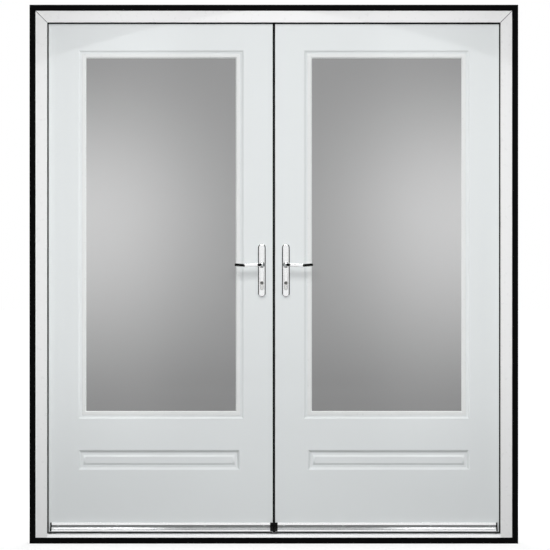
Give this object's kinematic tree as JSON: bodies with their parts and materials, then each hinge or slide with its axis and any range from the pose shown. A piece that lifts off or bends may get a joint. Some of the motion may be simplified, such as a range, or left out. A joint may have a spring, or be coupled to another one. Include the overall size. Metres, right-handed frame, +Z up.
{
  "type": "glazed double door with frame",
  "caption": "White composite double door in a white frame: tall obscured-glass lights, low embossed panels, chrome lever handles and weatherbars; both leaves swing inwards.",
  "frame": {"origin": "centre of the underside of the sill extension, at the middle of the frame's depth", "axes": "+X to the right seen from outside, +Y into the building, +Z up"},
  "size_m": [1.948, 0.158, 2.148],
  "materials": {
    "frame_white": "white PVC-U, satin gloss",
    "profile_black": "black PVC-U",
    "skin_white": "white GRP skin, satin",
    "bead_white": "white moulded bead",
    "glass": "obscured grey glass",
    "rubber": "black rubber",
    "chrome": "polished chrome",
    "steel": "zinc-plated steel",
    "aluminium": "white-finished aluminium",
    "foam": "rigid foam",
    "timber": "laminated timber",
    "nickel": "nickel-plated brass"
  },
  "bodies": {
    "root": {"frame_jamb_left": "frame_white", "frame_jamb_right": "frame_white", "frame_head": "frame_white", "frame_reinforcement": "steel", "frame_extension": "profile_black", "threshold": "aluminium", "shootbolt_keeps": "steel", "frame_gasket": "rubber", "hinge_frame_plates": "chrome", "hinge_pins": "steel"},
    "master_leaf": {"master_outer_skin": "skin_white", "master_inner_skin": "skin_white", "master_foam_core": "foam", "master_edge_frame": "timber", "master_outer_cassette": "bead_white", "master_inner_cassette": "bead_white", "master_glass_unit": "glass", "master_weatherbar": "aluminium", "master_weatherbar_screws": "steel", "master_weatherbar_caps": "rubber", "master_bottom_seal": "rubber", "master_faceplate": "steel", "master_lock_cases": "steel", "master_outer_backplate": "chrome", "master_inner_backplate": "chrome", "master_cylinder": "nickel", "master_hinge_leaves": "chrome"},
    "slave_leaf": {"slave_outer_skin": "skin_white", "slave_inner_skin": "skin_white", "slave_foam_core": "foam", "slave_edge_frame": "timber", "slave_outer_cassette": "bead_white", "slave_inner_cassette": "bead_white", "slave_glass_unit": "glass", "slave_weatherbar": "aluminium", "slave_weatherbar_screws": "steel", "slave_weatherbar_caps": "rubber", "slave_bottom_seal": "rubber", "slave_meeting_seal": "rubber", "slave_faceplate": "steel", "slave_lock_case": "steel", "slave_outer_backplate": "chrome", "slave_inner_backplate": "chrome", "slave_cylinder": "nickel", "slave_hinge_leaves": "chrome"},
    "master_gear": {"master_drive_gear": "steel"},
    "master_lever": {"master_outer_lever": "chrome", "master_inner_lever": "chrome"},
    "master_latch": {"master_latch": "steel"},
    "master_deadbolt": {"master_deadbolt": "steel"},
    "master_rail": {"master_drive_rail": "steel"},
    "master_hook_upper": {"master_hook_upper": "steel"},
    "master_hook_lower": {"master_hook_lower": "steel"},
    "master_key_plug": {"master_key_plug": "nickel"},
    "slave_lever": {"slave_outer_lever": "chrome", "slave_inner_lever": "chrome"},
    "slave_key_plug": {"slave_key_plug": "nickel"},
    "slave_shootbolt_top": {"slave_shootbolt_top": "steel"},
    "slave_shootbolt_bottom": {"slave_shootbolt_bottom": "steel"}
  },
  "joints": [
    {"name": "master_leaf_swing", "type": "hinge", "parent": "root", "child": "master_leaf", "pos_m": [-0.914, 0.045, 1.066], "axis": [0, 0, 1], "range_deg": [0, 100]},
    {"name": "slave_leaf_swing", "type": "hinge", "parent": "root", "child": "slave_leaf", "pos_m": [0.914, 0.045, 1.066], "axis": [0, 0, -1], "range_deg": [0, 100], "deforming": ["slave_meeting_seal"]},
    {"name": "master_lever_lift", "type": "hinge", "parent": "master_leaf", "child": "master_gear", "pos_m": [-0.048, 0.01, 1.111], "axis": [0, 1, 0], "range_deg": [0, 45]},
    {"name": "master_lever_press", "type": "hinge", "parent": "master_gear", "child": "master_lever", "pos_m": [-0.048, 0.01, 1.111], "axis": [0, -1, 0], "range_deg": [0, 35], "stiffness_Nm_per_rad": 1.2, "springref_deg": -20.05},
    {"name": "master_latch_slide", "type": "slide", "parent": "master_leaf", "child": "master_latch", "axis": [-1, 0, 0], "range_m": [0, 0.007]},
    {"name": "master_rail_slide", "type": "slide", "parent": "master_leaf", "child": "master_rail", "axis": [0, 0, -1], "range_m": [0, 0.01021]},
    {"name": "master_hook_upper_turn", "type": "hinge", "parent": "master_leaf", "child": "master_hook_upper", "pos_m": [-0.016, 0.01, 1.801], "axis": [0, 1, 0], "range_deg": [0, 81]},
    {"name": "master_hook_lower_turn", "type": "hinge", "parent": "master_leaf", "child": "master_hook_lower", "pos_m": [-0.016, 0.01, 0.411], "axis": [0, 1, 0], "range_deg": [0, 81]},
    {"name": "master_key_turn", "type": "hinge", "parent": "master_leaf", "child": "master_key_plug", "pos_m": [-0.048, 0.01, 1.039], "axis": [0, 1, 0], "range_deg": [0, 360]},
    {"name": "master_deadbolt_slide", "type": "slide", "parent": "master_leaf", "child": "master_deadbolt", "axis": [1, 0, 0], "range_m": [0, 0.02]},
    {"name": "slave_lever_lift", "type": "hinge", "parent": "slave_leaf", "child": "slave_lever", "pos_m": [0.048, 0.01, 1.111], "axis": [0, -1, 0], "range_deg": [0, 45]},
    {"name": "slave_shootbolt_top_slide", "type": "slide", "parent": "slave_leaf", "child": "slave_shootbolt_top", "axis": [0, 0, 1], "range_m": [0, 0.02]},
    {"name": "slave_shootbolt_bottom_slide", "type": "slide", "parent": "slave_leaf", "child": "slave_shootbolt_bottom", "axis": [0, 0, -1], "range_m": [0, 0.02]},
    {"name": "slave_key_turn", "type": "hinge", "parent": "slave_leaf", "child": "slave_key_plug", "pos_m": [0.048, 0.01, 1.039], "axis": [0, -1, 0], "range_deg": [0, 360]}
  ],
  "couplings": [
    {"joint": "master_lever_press", "follows": "master_latch_slide", "rad_per_m": 87.266},
    {"joint": "master_lever_lift", "follows": "master_rail_slide", "rad_per_m": 76.924},
    {"joint": "master_hook_upper_turn", "follows": "master_rail_slide", "rad_per_m": 138.46},
    {"joint": "master_hook_lower_turn", "follows": "master_rail_slide", "rad_per_m": 138.46},
    {"joint": "master_key_turn", "follows": "master_deadbolt_slide", "rad_per_m": 314.16},
    {"joint": "slave_shootbolt_top_slide", "follows": "slave_lever_lift", "m_per_rad": 0.025465},
    {"joint": "slave_shootbolt_bottom_slide", "follows": "slave_lever_lift", "m_per_rad": 0.025465}
  ]
}
